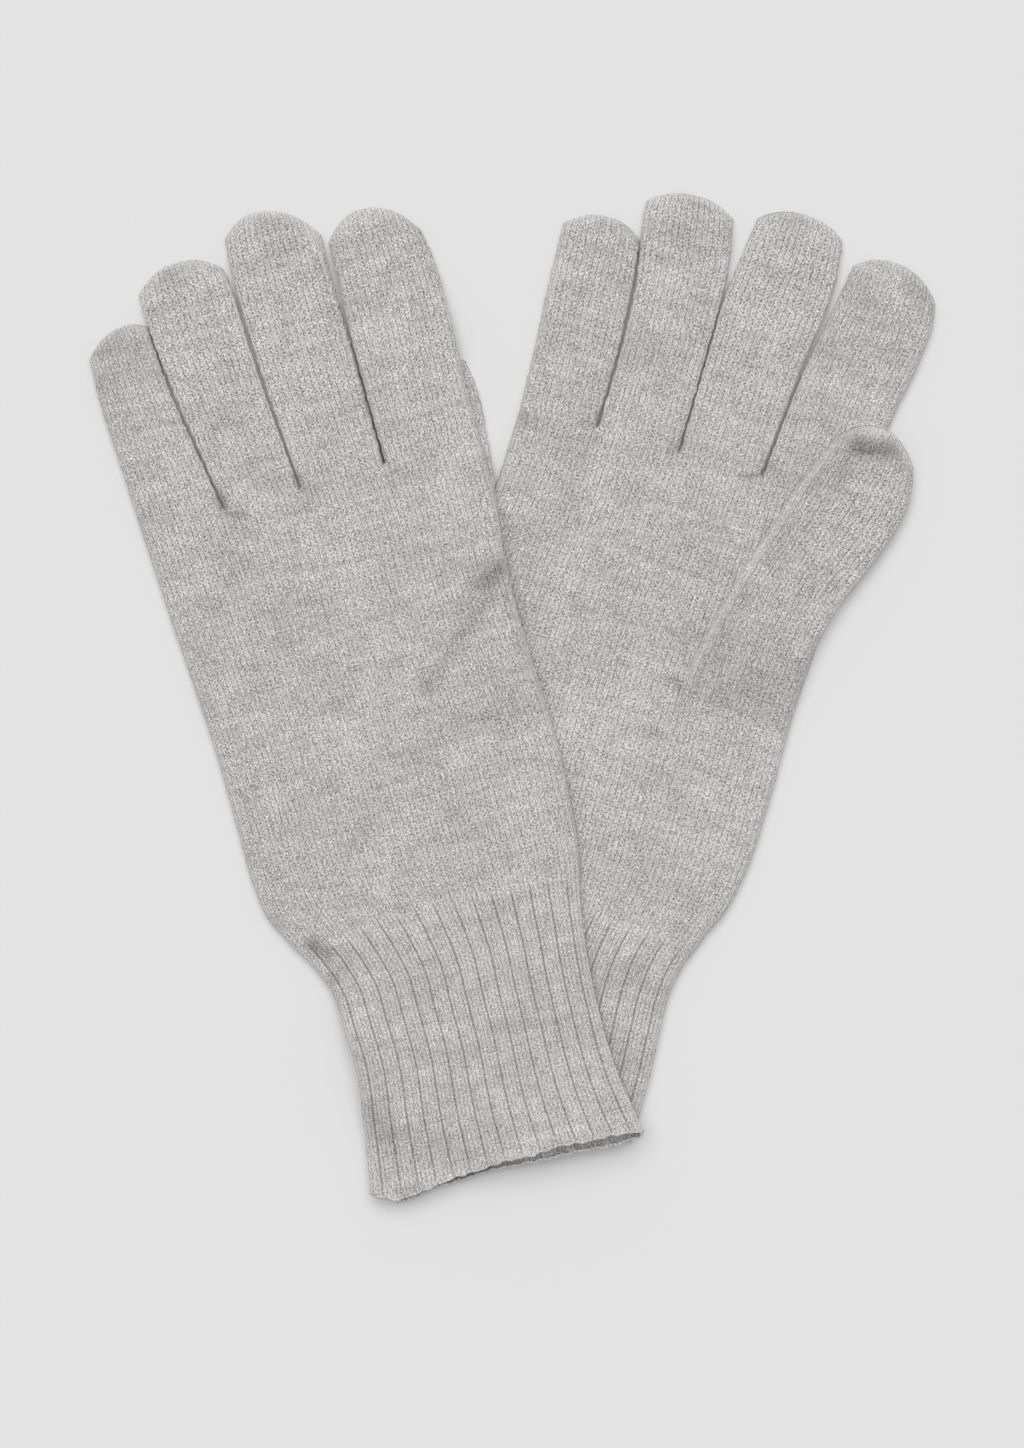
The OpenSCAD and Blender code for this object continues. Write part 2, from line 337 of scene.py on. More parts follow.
def new_group(name, inputs, outputs):
    """Shader node group with its named sockets; returns the tree, its inputs and its outputs."""
    tree = bpy.data.node_groups.new(name, "ShaderNodeTree")
    for label, kind, value in inputs:
        socket = tree.interface.new_socket(label, in_out="INPUT", socket_type=kind)
        if value is not None:
            socket.default_value = value
    for label, kind in outputs:
        tree.interface.new_socket(label, in_out="OUTPUT", socket_type=kind)
    return tree, tree.nodes.new("NodeGroupInput").outputs, tree.nodes.new("NodeGroupOutput").inputs


# Knit stitch: each wale is a column of V's, each V two slanted legs of yarn; the gaps between the wales get
# painted shade, darker where the stitch lies lowest.
stitch_group, given, result = new_group(
    "Knit stitch",
    [("Stitches", "NodeSocketVector", None), ("Unevenness", "NodeSocketFloat", 0.25)],
    [("Height", "NodeSocketFloat"), ("Pore Shade", "NodeSocketFloat"), ("Leg Tone", "NodeSocketFloat")])
t = stitch_group
split = node(t, "ShaderNodeSeparateXYZ")
t.links.new(given["Stitches"], split.inputs[0])
wander = maths(t, "MULTIPLY", maths(t, "SUBTRACT", noise(t, given["Stitches"], 0.8, 2), 0.5),
               given["Unevenness"])
wander_up = maths(t, "MULTIPLY", maths(t, "SUBTRACT", noise(t, given["Stitches"], 1.1, 2), 0.5),
                  given["Unevenness"])
u_run = maths(t, "ADD", split.outputs[0], maths(t, "MULTIPLY", wander, 2.2))
v_run = maths(t, "ADD", split.outputs[1], maths(t, "MULTIPLY", wander_up, 3.0))
aside = maths(t, "MULTIPLY", maths(t, "ABSOLUTE", maths(t, "SUBTRACT", maths(t, "FRACT", u_run), 0.5)), 2.0)
climb = maths(t, "SUBTRACT", v_run, maths(t, "MULTIPLY", aside, 0.85))
along = maths(t, "SUBTRACT", maths(t, "MULTIPLY", maths(t, "FRACT", climb), 2.0), 1.0)
strand = maths(t, "SQRT", maths(t, "SUBTRACT", 1.0, maths(t, "MULTIPLY", along, along), clamp=True))
beside = maths(t, "DIVIDE", maths(t, "SUBTRACT", aside, 0.42), 0.6)
leg = maths(t, "SQRT", maths(t, "SUBTRACT", 1.0, maths(t, "MULTIPLY", beside, beside), clamp=True))
height = maths(t, "ADD", maths(t, "MULTIPLY", leg, 0.58), maths(t, "MULTIPLY", strand, 0.42))
t.links.new(height, result["Height"])
# Painted shade of the pores, taken from how low the stitch lies.
t.links.new(spread(t, height, 0.8, 0.4), result["Pore Shade"])
cell = node(t, "ShaderNodeCombineXYZ")
t.links.new(maths(t, "FLOOR", maths(t, "MULTIPLY", u_run, 2.0)), cell.inputs[0])
t.links.new(maths(t, "FLOOR", climb), cell.inputs[1])
tone = node(t, "ShaderNodeTexWhiteNoise", noise_dimensions="2D")
t.links.new(cell.outputs[0], tone.inputs["Vector"])
t.links.new(tone.outputs["Value"], result["Leg Tone"])

# Heather yarn: pale and dark fibres spun together, so the colour changes from stitch to stitch and in soft
# clouds.
yarn_group, given, result = new_group(
    "Heather yarn",
    [("Stitches", "NodeSocketVector", None), ("Place", "NodeSocketVector", None),
     ("Pale", "NodeSocketColor", (0.6, 0.6, 0.6, 1)), ("Dark", "NodeSocketColor", (0.3, 0.3, 0.3, 1)),
     ("Warm", "NodeSocketColor", (0.5, 0.45, 0.42, 1)), ("Leg Tone", "NodeSocketFloat", 0.5),
     ("Pore Shade", "NodeSocketFloat", 0.0), ("Shade", "NodeSocketFloat", 0.0), ("Edge Highlight", "NodeSocketFloat", 0.0)],
    [("Color", "NodeSocketColor"), ("Fuzz", "NodeSocketFloat")])
t = yarn_group
fibres = noise(t, stretched(t, given["Stitches"], (2.7, 2.1, 1.0)), 1.0, 1.0, 0.6)
mixed = maths(t, "ADD", maths(t, "MULTIPLY", spread(t, fibres, 0.38, 0.62), 0.7),
              maths(t, "MULTIPLY", given["Leg Tone"], 0.3))
colour = blend_colours(t, "MIX", mixed, given["Dark"], given["Pale"])
tinted = maths(t, "MULTIPLY", spread(t, noise(t, given["Stitches"], 0.45, 2.0), 0.45, 0.7), 0.55)
colour = blend_colours(t, "MIX", tinted, colour, given["Warm"])
courses = noise(t, stretched(t, given["Stitches"], (0.07, 0.5, 1.0)), 1.0, 3.0, 0.6)
clouds = noise(t, given["Place"], 95.0, 3.0, 0.6)
patchy = maths(t, "ADD", maths(t, "MULTIPLY", courses, 0.5), maths(t, "MULTIPLY", clouds, 0.5))
colour = blend_colours(t, "MULTIPLY", 1.0, colour, spread(t, patchy, 0.35, 0.65, 0.85, 1.16))
# Painted shade: the low gaps between the stitches are darkened.
pore_shade = maths(t, "SUBTRACT", 1.0, maths(t, "MULTIPLY", given["Pore Shade"], 0.54))
colour = blend_colours(t, "MULTIPLY", 1.0, colour, pore_shade)
colour = blend_colours(t, "MULTIPLY", 1.0, colour, maths(t, "SUBTRACT", 1.0, given["Shade"]))
# Painted highlight: the marked edges are painted lighter, towards the pale yarn.
colour = blend_colours(t, "MIX", maths(t, "MULTIPLY", given["Edge Highlight"], 0.45, clamp=True), colour, given["Pale"])
t.links.new(colour, result["Color"])
t.links.new(fibres, result["Fuzz"])


def kept_mark(tree, name):
    """Value kept on the mesh's points under this name."""
    return node(tree, "ShaderNodeAttribute", attribute_name=name).outputs["Fac"]


def knit_material(name, pale, dark, warm, depth, unevenness, ribbed=0):
    """Matt knitted fabric. depth is the relief of a stitch in millimetres, and ribbed the number of wales
    from one sunk wale to the next, or 0 for plain knit."""
    made = bpy.data.materials.new(name)
    made.use_nodes = True
    tree = made.node_tree
    shader = tree.nodes["Principled BSDF"]
    shader.inputs["Roughness"].default_value = 0.92
    shader.inputs["Specular IOR Level"].default_value = 0.15
    shader.inputs["Sheen Weight"].default_value = 0.2
    shader.inputs["Sheen Roughness"].default_value = 0.5
    stitches = node(tree, "ShaderNodeUVMap", uv_map="stitches").outputs[0]
    stitch = node(tree, "ShaderNodeGroup", node_tree=stitch_group)
    stitch.inputs["Unevenness"].default_value = unevenness
    tree.links.new(stitches, stitch.inputs["Stitches"])
    yarn = node(tree, "ShaderNodeGroup", node_tree=yarn_group)
    for label, value in (("Pale", pale), ("Dark", dark), ("Warm", warm)):
        yarn.inputs[label].default_value = (*value, 1)
    tree.links.new(stitches, yarn.inputs["Stitches"])
    tree.links.new(node(tree, "ShaderNodeTexCoord").outputs["Object"], yarn.inputs["Place"])
    tree.links.new(stitch.outputs["Pore Shade"], yarn.inputs["Pore Shade"])
    tree.links.new(stitch.outputs["Leg Tone"], yarn.inputs["Leg Tone"])
    tree.links.new(kept_mark(tree, "edge_highlight"), yarn.inputs["Edge Highlight"])
    # Painted shade: the creases, dents and marked patches are painted darker.
    shade = maths(tree, "MULTIPLY", kept_mark(tree, "shade"), 0.5)
    height = stitch.outputs["Height"]
    if ribbed:
        split = node(tree, "ShaderNodeSeparateXYZ")
        tree.links.new(stitches, split.inputs[0])
        turn = maths(tree, "FRACT", maths(tree, "DIVIDE", split.outputs[0], float(ribbed)))
        off = maths(tree, "MULTIPLY", maths(tree, "ABSOLUTE", maths(tree, "SUBTRACT", turn, 0.5)), 2.0)
        sunk = maths(tree, "MULTIPLY", spread(tree, off, 0.78, 0.97), kept_mark(tree, "rib"), clamp=True)
        # Painted shade: the sunk wales between the ribs are painted darker as well as sunk in the bump.
        shade = maths(tree, "ADD", shade, maths(tree, "MULTIPLY", sunk, 0.28), clamp=True)
        height = maths(tree, "SUBTRACT", height, maths(tree, "MULTIPLY", sunk, 0.8))
    tree.links.new(shade, yarn.inputs["Shade"])
    tree.links.new(yarn.outputs["Color"], shader.inputs["Base Color"])
    bump = node(tree, "ShaderNodeBump")
    bump.inputs["Strength"].default_value = 1.0
    bump.inputs["Distance"].default_value = depth * MM
    relief = maths(tree, "ADD", height, maths(tree, "MULTIPLY", yarn.outputs["Fuzz"], 0.7))
    tree.links.new(relief, bump.inputs["Height"])
    tree.links.new(bump.outputs[0], shader.inputs["Normal"])
    return made


plain_knit = knit_material("plain_heather_knit", pale=(1.0, 0.985, 0.965), dark=(0.34, 0.335, 0.33),
                           warm=(0.78, 0.715, 0.705), depth=0.6, unevenness=0.22)

right = glove_place("right_cuff_bend", 1)
right_hand_sides = (
    [(-2, -39.6), (4, -40.5), (12, -45), (24, -49), (45, -51), (70, -51), (90, -50.5), (110, -48.5),
     (130, -48.2)],
    [(-2, 39.6), (4, 40.5), (12, 44), (24, 46.5), (45, 47.3), (70, 47), (90, 48), (110, 48.5), (130, 49.4)])
# Each crease is dented and also painted darker as painted shade, such as the dark spots at the finger
# crotches.
right_creases = [(-26.6, 131, -26.6, 133, 1.1, 0.7), (-27.5, 130, -30.5, 129, 1.2, 0.4),
                 (-47, 126.3, -27, 125.5, 2.2, 0.3), (-3.1, 131, -3.1, 133, 1.0, 0.5),
                 (-4, 129.8, -6, 128.8, 1.1, 0.4), (20.5, 130.5, 20.7, 133, 1.1, 0.6),
                 (19.6, 129.6, 15, 127.6, 1.0, 0.45), (22, 130, 30, 128.6, 1.2, 0.2),
                 (18.3, 67.5, 19, 63.5, 2.2, 1.1), (17, 66, 14, 69, 1.6, 0.5), (22, 66, 30, 64.5, 2.2, 0.3)]
right_thumb_sides = (
    [(60, 15.2), (68, 15.4), (75, 15.9), (82, 17.2), (91, 19.1), (99, 21), (106, 23), (113, 25.2),
     (122, 27.9), (129, 29.9), (136, 32.7), (143, 35.4), (147, 38)],
    [(60, 46.2), (74, 46.4), (84, 46.8), (93, 48.2), (102, 50.6), (110, 53.8), (119, 57.5), (129, 60.3),
     (136, 60.8), (145, 58.8)])
THUMB_ROOT = 60
THUMB_REACH = 146
THUMB_SINK = 0.8


def under_thumb(x, y):
    """How far a point lies in the bed that the right thumb presses into the palm, from 0 to 1."""
    reach = np.clip(y, THUMB_ROOT, THUMB_REACH)
    from_left = ease(0.5, 4, x - side_line(right_thumb_sides[0], reach))
    from_right = ease(0.5, 4, side_line(right_thumb_sides[1], reach) - x)
    return from_left * from_right * ease(THUMB_ROOT, 78, y) * (1 - ease(142, 148, y))


def on_table(x, y):
    """Nothing anywhere: the table's height, and the value of a mark that a piece doesn't have."""
    return np.zeros_like(x)


def open_skin(ys, sides, around, inset=0.0):
    """Outer or inner side of an open tube, hand or cuff, between its two side lines."""
    return flat_rings(ys, side_line(sides[0], ys), side_line(sides[1], ys), HAND_THICK, ROUND, ROUND, around,
                      inset)


def open_rims(outer_count, inner_count):
    """Rings of an open tube where its fabric is cut or turns inside."""
    return [0, outer_count - 1, outer_count, outer_count + inner_count - 1, outer_count + inner_count]


def way_round(rings):
    """How far round its ring each point lies, from -0.5 to 0.5, with 0 in the middle of the top."""
    return rings["arc"] / (2 * rings["arc"][:, -1:])


def hand_tube(name, place, sides, root, lift, seed, creases, pressed=None):
    """Open hand tube with its inner side, from the wrist to the finger roots and back."""
    ys = np.concatenate([np.linspace(WRIST, 14, 10)[:-1], np.linspace(14, root - 8, 130)[:-1],
                         np.linspace(root - 8, root, 10)])
    inner_ys = np.concatenate([ys[:-1:4], ys[-1:]])
    outer = open_skin(ys, sides, HAND_AROUND)
    rings = joined(outer, reverse(open_skin(inner_ys, sides, HAND_AROUND, FABRIC)), rows_of(outer, [0]))
    shade = settle(rings, lift, seed, creases)
    if pressed is not None:
        rings["z"] -= ease(0.3, 1, rings["top"]) * pressed(rings["x"], rings["y"])
    grown = (rings["y"] - WRIST) / (root - WRIST)
    root_full = 2 * outer["arc"][-1, -1]
    middle = (sides[0][-1][1] + sides[1][-1][1]) / 2 / WALE
    u = middle * grown + way_round(rings) * (WRIST_WALES + (root_full / WALE - WRIST_WALES) * grown)
    marks = {"shade": shade, "edge_highlight": rings["edge_highlight"]}
    return wrap_sheet(name, place, rings, u, rings["y"] / COURSE, marks, open_rims(len(ys), len(inner_ys)))


def dress(piece, material, nodes):
    """Gives a piece its knit, and puts it in the place of the solids it is drawn for."""
    piece.data.materials.clear()
    piece.data.materials.append(material)
    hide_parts(*nodes)


right_hand = hand_tube("right_hand_knit", right, right_hand_sides, 130, on_table, 3, right_creases,
                       lambda x, y: THUMB_SINK * under_thumb(x, y))
dress(right_hand, plain_knit, ["right_hand"])
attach(right_hand, "right_glove")

# --- Right fingers ------------------------------------------------------------------------------
# Each finger is a seamless tube knitted on from the palm, with its tip drawn flat and closed along a short
# arc, so that it ends in two small soft corners.
FINGER_THICK = 4.6
TOUCH = 1.1
FINGER_AROUND = 100
NOSE = 0.1
PARTING = 0.14


def uneven(y, seed):
    """Small wander of a knitted edge."""
    return (0.09 * np.sin(1.7 * y + seed) + 0.08 * np.sin(2.9 * y + 2.3 * seed)
            + 0.05 * np.sin(0.8 * y + 5 * seed))


def finger_tube(name, place, shape, lift, seed, creases, thick=FINGER_THICK, rise=None, rounds=None,
                relief=None, dent=DENT):
    """Finger or thumb: inside from tip to root, then outside from root to tip.
    shape holds root, corner points of the tip, how far the tip bulges past them, the two side lines, and
    which of these are free edges. A side that touches the next finger is drawn in by PARTING."""
    root, bulge, sides = shape["root"], shape["bulge"], shape["sides"]
    corner_l, corner_r = shape["corner_left"], shape["corner_right"]
    round_l, round_r = rounds or (ROUND if edge else TOUCH for edge in shape["edge"])

    def skin(ts, inset):
        yl = root + ts * (corner_l[1] - inset - root)
        yr = root + ts * (corner_r[1] - inset - root)
        xl = side_line(sides[0], yl) + uneven(yl, seed) + PARTING * (not shape["edge"][0])
        xr = side_line(sides[1], yr) + uneven(yr, seed) - PARTING * (not shape["edge"][1])
        ys = (yl + yr) / 2
        nose = np.clip((ts - (1 - NOSE)) / NOSE, 0, 1)
        full = thick if rise is None else np.minimum(thick, rise(ys))
        tall = full * (0.14 + 0.86 * np.sqrt(np.clip(1 - nose ** 2.2, 0, 1)))
        stack = flat_rings(ys, xl, xr, tall, round_l, round_r, FINGER_AROUND, inset)
        share = np.clip((stack["x"] - xl[:, None]) / (xr - xl)[:, None], 0, 1)
        arc = bulge * (1 - np.abs(2 * share - 1) ** 2.3)
        tip = corner_l[1] + (corner_r[1] - corner_l[1]) * share + arc - inset
        stack["y"] = root + ts[:, None] * (tip - root)
        stack["z"] = stack["z"] + ((full - tall) * 0.35)[:, None]
        # Painted highlight along the flattened edge of the tip.
        stack["edge_highlight"] = np.maximum(stack["edge_highlight"], (nose ** 3)[:, None] * (inset == 0))
        return stack

    outer = skin(1 - (1 - np.linspace(0, 1, 84)) ** 1.25, 0.0)
    inner = skin(np.linspace(0, 0.93, 22), FABRIC)
    shut = []
    for stack in (inner, outer):
        last = {k: v.copy() for k, v in rows_of(stack, [-1]).items()}
        last["z"][:] = last["z"].mean()
        shut.append(last)
    rings = joined(reverse(joined(inner, shut[0])), outer, shut[1])
    middle = (sides[0][0][1] + sides[1][0][1]) / 2
    u = (middle + way_round(rings) * 2 * outer["arc"][0, -1]) / WALE
    shade = settle(rings, lift, seed, creases, dent=dent)
    if relief is not None:
        rings["z"] += ease(0.3, 1.0, rings["top"]) * relief(rings["x"], rings["y"])
    # Painted shade of a patch and painted highlight of a ridge, where the shape has them.
    shade_patch = shape.get("shade_patch", on_table)(rings["x"], rings["y"]) * (rings["top"] > 0.5)
    ridge_highlight = shape.get("ridge_highlight", on_table)(rings["x"], rings["y"])
    marks = {"shade": shade + shade_patch, "edge_highlight": rings["edge_highlight"] + ridge_highlight}
    rims = [len(inner["x"]), len(inner["x"]) + 1]
    return wrap_sheet(name, place, rings, u, rings["y"] / COURSE, marks, rims)


def knuckle_fold(piece):
    """Bakes the tube's placement into its points."""
    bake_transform(piece)


right_fingers = {
    "pinky": {"root": 130, "corner_left": (-51, 181.2), "corner_right": (-29.6, 182.6), "bulge": 4.3,
              "sides": ([(130, -48.2), (150, -49.2), (160, -50), (184, -51.1)],
                        [(130, -26.7), (155, -26.9), (170, -28), (184, -29.8)]), "edge": (True, False)},
    "ring": {"root": 130, "corner_left": (-31, 193.6), "corner_right": (-6.7, 195), "bulge": 4.2,
             "sides": ([(130, -26.4), (152, -26.3), (168, -27.2), (190, -30.6), (196, -31.2)],
                       [(130, -3.3), (165, -3.5), (180, -4), (196, -6.8)]), "edge": (False, False)},
    "middle": {"root": 130, "corner_left": (-0.4, 197.5), "corner_right": (23.6, 198), "bulge": 4.2,
               "sides": ([(130, -3), (160, -3.2), (173, -3.2), (185, -1.9), (198, -0.4)],
                         [(130, 20.3), (145, 21.3), (160, 22.6), (185, 25), (198, 23.7)]),
               "edge": (False, False)},
    "index": {"root": 130, "corner_left": (28.2, 192.2), "corner_right": (51.9, 189.8), "bulge": 5.2,
              "sides": ([(130, 20.6), (145, 21.8), (160, 23.2), (174, 25.5), (192, 28.3)],
                        [(130, 49.4), (152, 49.8), (174, 53.2), (184, 53.5), (191, 51.7)]),
              "edge": (False, True)},
}
right_tip_creases = [(44.5, 191.6, 49, 190, 2.6, 0.45), (-41, 183.3, -36, 183.8, 1.8, 0.3),
                     (2, 199.5, 12, 200, 2.2, 0.35), (-21, 196, -14, 196.4, 2.2, 0.35)]

for finger, shape in right_fingers.items():
    tube = finger_tube(f"right_{finger}_knit", right, shape, on_table, 3, right_creases + right_tip_creases,
                       relief=(lambda x, y: -THUMB_SINK * under_thumb(x, y)) if finger == "index" else None)
    dress(tube, plain_knit, [f"right_{finger}_base", f"right_{finger}_end"])
    knuckle_fold(tube)

# --- Right thumb --------------------------------------------------------------------------------
# The thumb tube grows out of the palm without a seam and is laid back over it. Its inner edge stands up as
# a soft ridge with a painted highlight, and its tip has sunk in; the shadow in the dent is partly cast and
# partly painted shade.
THUMB_THICK = 3.2
THUMB_ROOT_THICK = 1.35
THUMB_LET_IN = 1.6
thumb_knit = knit_material("thumb_heather_knit", pale=(1.0, 0.97, 0.95), dark=(0.31, 0.30, 0.295),
                           warm=(0.78, 0.70, 0.68), depth=0.6, unevenness=0.22)


def thumb_edge_highlight(x, y):
    """Painted highlight: the standing inner edge is painted lighter all along, as it catches the light."""
    inward = x - side_line(right_thumb_sides[0], np.clip(y, THUMB_ROOT, THUMB_REACH))
    return 0.7 * np.exp(-((inward - 1.5) / 1.0) ** 2) * ease(66, 76, y) * (1 - ease(140, 146, y))


def thumb_root_shade(x, y):
    """Painted shade: where the thumb leaves the palm and turns, its knit is painted a little darker."""
    return 0.14 * ease(66, 70, y + 0.15 * (x - 15)) * (1 - ease(-2.5, 2.5, y - 99.4 + 0.59 * (x - 21.9)))


right_thumb = {"root": THUMB_ROOT, "corner_left": (37.2, 145.9), "corner_right": (58.6, 144.2), "bulge": 6.4,
               "sides": right_thumb_sides, "shade_patch": thumb_root_shade, "ridge_highlight": thumb_edge_highlight, "edge": (True, True)}
right_thumb_creases = [(52.6, 146, 43.2, 144.4, 2.6, 0.95), (42.4, 141, 41, 133, 1.8, 0.45),
                       (41, 133, 36, 115, 1.8, 0.2)]


def thumb_bed(x, y):
    """Underside of the right thumb: let into the palm at its root, and hanging a little past the palm's
    edge."""
    past = x - side_line(right_hand_sides[1], np.clip(y, 0, 130))
    return HAND_THICK - THUMB_LET_IN + (1.7 - THUMB_SINK) * ease(THUMB_ROOT, 84, y) - 1.4 * ease(0, 9, past)


def thumb_rise(y):
    """Thickness of the right thumb, which grows from its root."""
    return THUMB_ROOT_THICK + (THUMB_THICK - THUMB_ROOT_THICK) * ease(THUMB_ROOT, 88, y)


def thumb_relief(x, y):
    """Ridge along the inner edge and the trough beside it."""
    inward = x - side_line(right_thumb_sides[0], np.clip(y, THUMB_ROOT, THUMB_REACH))
    return (0.5 * np.exp(-((inward - 1.6) / 1.3) ** 2) * ease(60, 70, y)
            - 0.7 * np.exp(-((inward - 7.5) / 3.6) ** 2) * ease(66, 96, y))


right_thumb_tube = finger_tube("right_thumb_knit", right, right_thumb, thumb_bed, 3, right_thumb_creases,
                               THUMB_THICK, thumb_rise, (1.3, 1.6), thumb_relief, dent=1.7)
dress(right_thumb_tube, thumb_knit, ["right_thumb_base", "right_thumb_end"])
knuckle_fold(right_thumb_tube)

# --- Right cuff ---------------------------------------------------------------------------------
# The cuff is knitted on in a three by one rib: three raised wales, then one that sinks between them. The rib
# draws the wrist in. Its mouth ends in a narrow welt that rolls a little and waves with the ribs.
RIBS = 32
RIB_WALES = 4
CUFF_AROUND = RIBS * 11
RIB_DEPTH = 0.6
WELT = 6
BEAD = 0.6
RIGHT_CUFF_LENGTH = 62
rib_knit = knit_material("ribbed_heather_knit", pale=(1.0, 0.985, 0.97), dark=(0.36, 0.35, 0.345),
                         warm=(0.80, 0.73, 0.72), depth=0.5, unevenness=0.2, ribbed=RIB_WALES)


def rib_start(x, y):
    """How far the ribs have formed: they begin along a gentle arc just below the wrist."""
    begin = WRIST + 0.6 - 3.4 * (x / 39) ** 2
    return 1 - ease(-5, 0, y - begin)


def ribbed(stack, amount=1.0):
    """Sinks the wales between the ribs along the section's own normals."""
    turn = np.arange(stack["x"].shape[1]) / CUFF_AROUND * RIBS
    off = np.abs(turn - np.round(turn))
    relief = np.exp(-(off / 0.12) ** 2) - 0.12 * np.cos(turn * 2 * math.pi)
    depth = RIB_DEPTH * relief[None, :] * rib_start(stack["x"], stack["y"]) * amount
    stack["x"] = stack["x"] - stack["nx"] * depth
    stack["z"] = stack["z"] - stack["nz"] * depth * (0.4 + 0.6 * stack["top"])
    return stack


def cuff_tube(name, place, sides, lift, seed, bottom, creases):
    """Ribbed tube with its inner side, from the wrist to the welt and back."""
    ys = np.concatenate([np.linspace(WRIST, WRIST - 8, 14)[:-1], np.linspace(WRIST - 8, bottom, 52)])
    inner_ys = np.concatenate([ys[:-1:3], ys[-1:]])[::-1]
    outer = ribbed(open_skin(ys, sides, CUFF_AROUND))
    inner = ribbed(open_skin(inner_ys, sides, CUFF_AROUND, FABRIC))
    rings = joined(outer, inner, rows_of(outer, [0]))
    shade = settle(rings, lift, seed, creases)
    u = way_round(rings) * RIBS * RIB_WALES
    marks = {"rib": rib_start(rings["x"], rings["y"]), "shade": shade, "edge_highlight": rings["edge_highlight"]}
    return wrap_sheet(name, place, rings, u, rings["y"] / COURSE, marks, open_rims(len(ys), len(inner_ys)))


def welt_tube(name, place, sides, lift, seed, top, bottom, mouth, agape):
    """Mouth of the cuff: the fabric runs on, rolls outward in a thin bead and turns inside.
    mouth is the line of the front edge, as (x, y) points, and agape says where the mouth stands open."""
    turn = np.arange(CUFF_AROUND + 1) / CUFF_AROUND * 2 * math.pi
    ruffle = 0.16 * np.cos(turn * RIBS) + 0.1 * np.sin(turn * 11 + seed) + 0.12 * np.sin(turn * 47 + 2 * seed)
    outside = np.linspace(top, bottom + BEAD, 16)

    def rib_share(ys):
        return np.interp(ys, [bottom, bottom + 3], [0.3, 1.0])[:, None]

    parts = [ribbed(open_skin(outside, sides, CUFF_AROUND), rib_share(outside))]
    for angle in np.linspace(-0.2, math.pi + 0.1, 9):
        ring = ribbed(open_skin(np.array([bottom + BEAD]), sides, CUFF_AROUND, FABRIC / 2), 0.3)
        out = BEAD * math.cos(angle)
        ring["x"], ring["z"] = ring["x"] + ring["nx"] * out, ring["z"] + ring["nz"] * out
        ring["y"] = ring["y"] - BEAD * math.sin(angle)
        # Painted highlight along the rolled bead of the welt.
        ring["edge_highlight"] = np.full_like(ring["edge_highlight"], 0.9)
        parts.append(ring)
    inside = outside[::-3]
    parts.append(ribbed(open_skin(inside, sides, CUFF_AROUND, FABRIC), rib_share(inside)))
    rings = joined(*parts, rows_of(parts[0], [0]))
    near = 1 - ease(bottom, top, rings["y"])
    x = rings["x"]
    front = np.interp(x, *np.array(mouth).T)
    open_at = np.interp(x, *np.array(agape).T)
    under_back = (0.5 + 2.8 * open_at) * (1 - rings["top"])
    rings["y"] = rings["y"] + near * (ruffle[None, :] + front - bottom - under_back)
    rings["z"] = rings["z"] + near * (0.3 + 2.2 * open_at) * ease(0.3, 1, rings["top"])
    shade = settle(rings, lift, seed, [])
    # Painted shade: the inside of the mouth is painted darker.
    mouth_inner_shade = np.zeros_like(x)
    mouth_inner_shade[len(outside) + 7:-1] = 1.0
    u = way_round(rings) * RIBS * RIB_WALES
    v = rings["y"] / COURSE
    marks = {"rib": 1 - 0.6 * near, "shade": shade + 0.2 * mouth_inner_shade, "edge_highlight": rings["edge_highlight"]}
    return wrap_sheet(name, place, rings, u, v, marks, [0, len(rings["x"]) - 2, len(rings["x"]) - 1])


def wrist_bend(piece):
    """Bakes the cuff's placement into its points."""
    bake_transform(piece)


right_cuff_end = WRIST - RIGHT_CUFF_LENGTH
right_cuff_sides = ([(-62, -37.4), (-34, -37), (-14, -37.8), (-6, -38.5), (4, -40.5)],
                    [(-62, 37.4), (-34, 37.1), (-24, 36.4), (-14, 36), (-6, 37), (4, 40.5)])
right_cuff = cuff_tube("right_cuff_rib", right, right_cuff_sides, on_table, 3, right_cuff_end + WELT, [])
dress(right_cuff, rib_knit, ["right_cuff"])
wrist_bend(right_cuff)
right_welt = welt_tube("right_cuff_welt_knit", right, right_cuff_sides, on_table, 3, right_cuff_end + WELT,
                       right_cuff_end,
                       [(-38, right_cuff_end + 3), (-10, right_cuff_end + 2), (15, right_cuff_end + 3),
                        (38, right_cuff_end + 3)],
                       [(-38, 0.0), (0, 0.2), (38, 0.0)])
dress(right_welt, rib_knit, ["right_cuff_welt"])
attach(right_welt, "right_cuff_flap")

# --- Left hand ----------------------------------------------------------------------------------
# The same tube for the other hand, palm down. It lies over the right glove's palm and over its own thumb,
# and comes down to the table beside them.
DRAPE = 19
SHELF = 4
left = glove_place("left_cuff_bend", -1)
left_hand_sides = (
    [(-2, -41), (4, -42.6), (10, -45.5), (19, -47.1), (35, -47.4), (55, -47.5), (75, -48.5), (103, -50.3),
     (122, -51.3)],
    [(-2, 39.4), (4, 40.5), (10, 41.5), (19, 42.3), (35, 43.2), (55, 42.6), (75, 42.1), (90, 42.6),
     (103, 44.2), (122, 44.5)])
left_creases = [(-28, 122, -28, 125, 1.5, 0.9), (-27, 120, -23, 118.6, 1.3, 0.6),
                (-6.4, 122.8, -6.4, 125, 1.2, 0.7), (-6, 121, -2, 119.4, 1.2, 0.35),
                (17.6, 123, 17.6, 126, 1.1, 0.5), (18.5, 121, 22, 117, 1.2, 0.35),
                (41.5, 86, 35.2, 82.6, 3.0, 0.85), (38, 82, 13, 59.5, 2.6, 0.4), (40, 80, 42, 55, 2.0, 0.25)]
